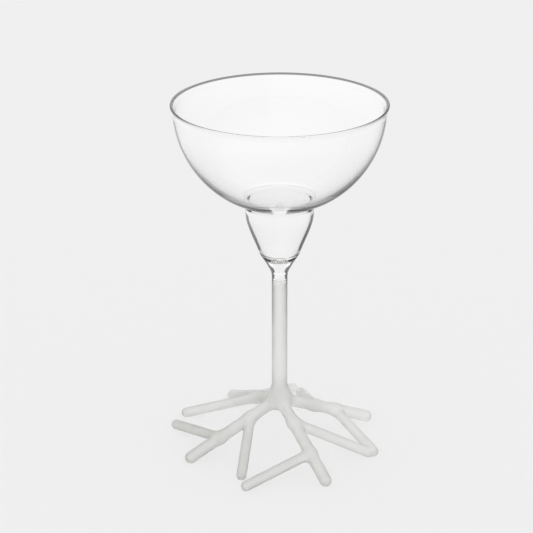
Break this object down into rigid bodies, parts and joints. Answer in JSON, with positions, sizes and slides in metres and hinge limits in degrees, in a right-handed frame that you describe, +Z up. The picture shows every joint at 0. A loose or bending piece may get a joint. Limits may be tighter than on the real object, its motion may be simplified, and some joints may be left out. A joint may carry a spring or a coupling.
{
  "type": "margarita glass",
  "caption": "Stemmed cocktail glass with a clear two-stage bowl, a plain frosted stem and a spreading foot of welded frosted rods that branch like roots.",
  "frame": {"origin": "on the plane the foot stands on, under the axis of the stem and bowl", "axes": "+Z up the stem to the rim; +X horizontal, 12.7 degrees clockwise of right_root seen from above; +Y horizontal, 19.9 degrees clockwise of back_root"},
  "size_m": [0.1173, 0.1189, 0.2],
  "materials": {
    "clear_glass": "clear fire-polished borosilicate",
    "frosted_glass": "sandblasted borosilicate, evenly matt and translucent white"
  },
  "bodies": {
    "root": {"bowl": "clear_glass", "neck": "clear_glass", "stem": "frosted_glass", "hub": "frosted_glass", "right_root": "frosted_glass", "right_root_inner_branch": "frosted_glass", "right_root_outer_branch": "frosted_glass", "back_root": "frosted_glass", "back_root_inner_branch": "frosted_glass", "back_root_outer_branch": "frosted_glass", "left_root": "frosted_glass", "left_root_inner_branch": "frosted_glass", "left_root_outer_branch": "frosted_glass", "front_root": "frosted_glass", "front_root_inner_branch": "frosted_glass", "front_root_outer_branch": "frosted_glass"}
  },
  "joints": []
}
